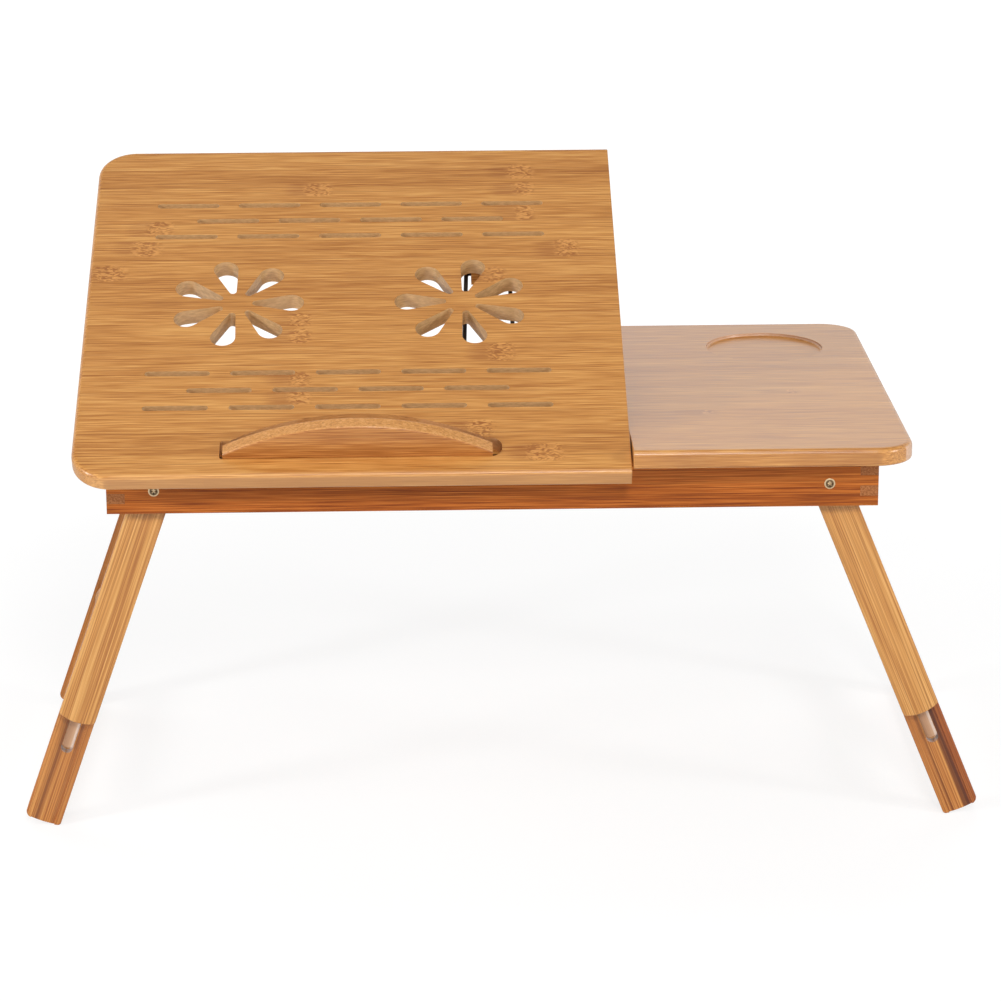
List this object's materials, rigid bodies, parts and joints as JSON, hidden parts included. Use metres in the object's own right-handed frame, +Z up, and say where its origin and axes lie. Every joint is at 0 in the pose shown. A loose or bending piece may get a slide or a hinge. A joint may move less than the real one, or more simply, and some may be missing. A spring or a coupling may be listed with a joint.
{
  "type": "laptop table",
  "caption": "Folding bamboo laptop table: tilting vented panel with a fold-up ledge, fixed side panel with a cup recess, side drawer and height-adjustable splayed legs.",
  "frame": {"origin": "on the floor, midway between the outermost points of the feet and midway along the depth of the top", "axes": "+X to the right along the length of the top, +Y from front to back, +Z up"},
  "size_m": [0.6486, 0.3525, 0.4144],
  "materials": {
    "bamboo_top": "satin lacquered bamboo",
    "bamboo_frame": "satin lacquered bamboo",
    "bamboo_leg": "satin lacquered bamboo",
    "drawer_plywood": "unfinished thin plywood",
    "turned_wood": "turned and lacquered",
    "hinge_steel": "plated",
    "zinc_steel": "zinc plated",
    "black_wire": "black coated steel wire"
  },
  "bodies": {
    "base": {"front_apron": "bamboo_frame", "rear_apron": "bamboo_frame", "left_side_board": "bamboo_frame", "right_side_board": "bamboo_frame", "divider_board": "bamboo_frame", "rack_rail": "bamboo_frame", "prop_rack": "bamboo_frame", "support_rail": "bamboo_frame", "drawer_runner_front": "bamboo_frame", "drawer_runner_rear": "bamboo_frame", "fixed_panel": "bamboo_top", "pivot_screws": "zinc_steel", "pivot_nuts": "zinc_steel", "support_screws": "zinc_steel", "hinge_frame_leaves": "hinge_steel", "hinge_pins": "hinge_steel", "hinge_frame_screws": "zinc_steel"},
    "tilting_top": {"tilting_panel": "bamboo_top", "hinge_panel_leaves": "hinge_steel", "hinge_panel_screws": "zinc_steel", "prop_block": "bamboo_frame"},
    "ledge": {"laptop_ledge": "bamboo_top", "ledge_pins": "zinc_steel"},
    "prop": {"prop_bail": "black_wire"},
    "left_upper_legs": {"left_front_upper_leg": "bamboo_leg", "left_rear_upper_leg": "bamboo_leg", "left_guide_keys": "bamboo_leg", "left_clamp_studs": "zinc_steel", "left_clamp_washers": "zinc_steel"},
    "right_upper_legs": {"right_front_upper_leg": "bamboo_leg", "right_rear_upper_leg": "bamboo_leg", "right_guide_keys": "bamboo_leg", "right_clamp_studs": "zinc_steel", "right_clamp_washers": "zinc_steel"},
    "left_lower_legs": {"left_front_lower_leg": "bamboo_leg", "left_rear_lower_leg": "bamboo_leg", "left_foot_crossbar": "bamboo_leg"},
    "right_lower_legs": {"right_front_lower_leg": "bamboo_leg", "right_rear_lower_leg": "bamboo_leg", "right_foot_crossbar": "bamboo_leg"},
    "left_front_clamp": {"left_front_knob": "turned_wood"},
    "left_rear_clamp": {"left_rear_knob": "turned_wood"},
    "right_front_clamp": {"right_front_knob": "turned_wood"},
    "right_rear_clamp": {"right_rear_knob": "turned_wood"},
    "drawer": {"drawer_front": "bamboo_frame", "drawer_back": "bamboo_frame", "drawer_side_front": "bamboo_frame", "drawer_side_rear": "bamboo_frame", "drawer_bottom": "drawer_plywood", "drawer_knob": "turned_wood"}
  },
  "joints": [
    {"name": "panel_tilt", "type": "hinge", "parent": "base", "child": "tilting_top", "pos_m": [-0.0985, -0.1503, 0.2602], "axis": [1, 0, 0], "range_deg": [-26, 9]},
    {"name": "ledge_fold", "type": "hinge", "parent": "tilting_top", "child": "ledge", "pos_m": [-0.0942, -0.15703, 0.26715], "axis": [1, 0, 0], "range_deg": [-90, 0]},
    {"name": "prop_swing", "type": "hinge", "parent": "tilting_top", "child": "prop", "pos_m": [-0.00517, 0.03454, 0.34613], "axis": [1, 0, 0], "range_deg": [-16.5, 6]},
    {"name": "left_leg_fold", "type": "hinge", "parent": "base", "child": "left_upper_legs", "pos_m": [-0.2288, 0, 0.2429], "axis": [0, 1, 0], "range_deg": [-101.6, 0]},
    {"name": "right_leg_fold", "type": "hinge", "parent": "base", "child": "right_upper_legs", "pos_m": [0.21616, 0, 0.2429], "axis": [0, 1, 0], "range_deg": [0, 94]},
    {"name": "left_leg_extend", "type": "slide", "parent": "left_upper_legs", "child": "left_lower_legs", "axis": [-0.3346, 0, -0.9423], "range_m": [0, 0.075]},
    {"name": "right_leg_extend", "type": "slide", "parent": "right_upper_legs", "child": "right_lower_legs", "axis": [0.3795, 0, -0.9252], "range_m": [0, 0.075]},
    {"name": "left_front_knob_turn", "type": "hinge", "parent": "left_upper_legs", "child": "left_front_clamp", "pos_m": [-0.28401, -0.106, 0.08741], "axis": [0, 1, 0], "continuous": true},
    {"name": "left_rear_knob_turn", "type": "hinge", "parent": "left_upper_legs", "child": "left_rear_clamp", "pos_m": [-0.28401, 0.106, 0.08741], "axis": [0, 1, 0], "continuous": true},
    {"name": "right_front_knob_turn", "type": "hinge", "parent": "right_upper_legs", "child": "right_front_clamp", "pos_m": [0.27877, -0.106, 0.09024], "axis": [0, 1, 0], "continuous": true},
    {"name": "right_rear_knob_turn", "type": "hinge", "parent": "right_upper_legs", "child": "right_rear_clamp", "pos_m": [0.27877, 0.106, 0.09024], "axis": [0, 1, 0], "continuous": true},
    {"name": "drawer_slide", "type": "slide", "parent": "base", "child": "drawer", "axis": [1, 0, 0], "range_m": [0, 0.15]}
  ],
  "couplings": [
    {"joint": "prop_swing", "follows": "panel_tilt", "ratio": 0.62115}
  ]
}
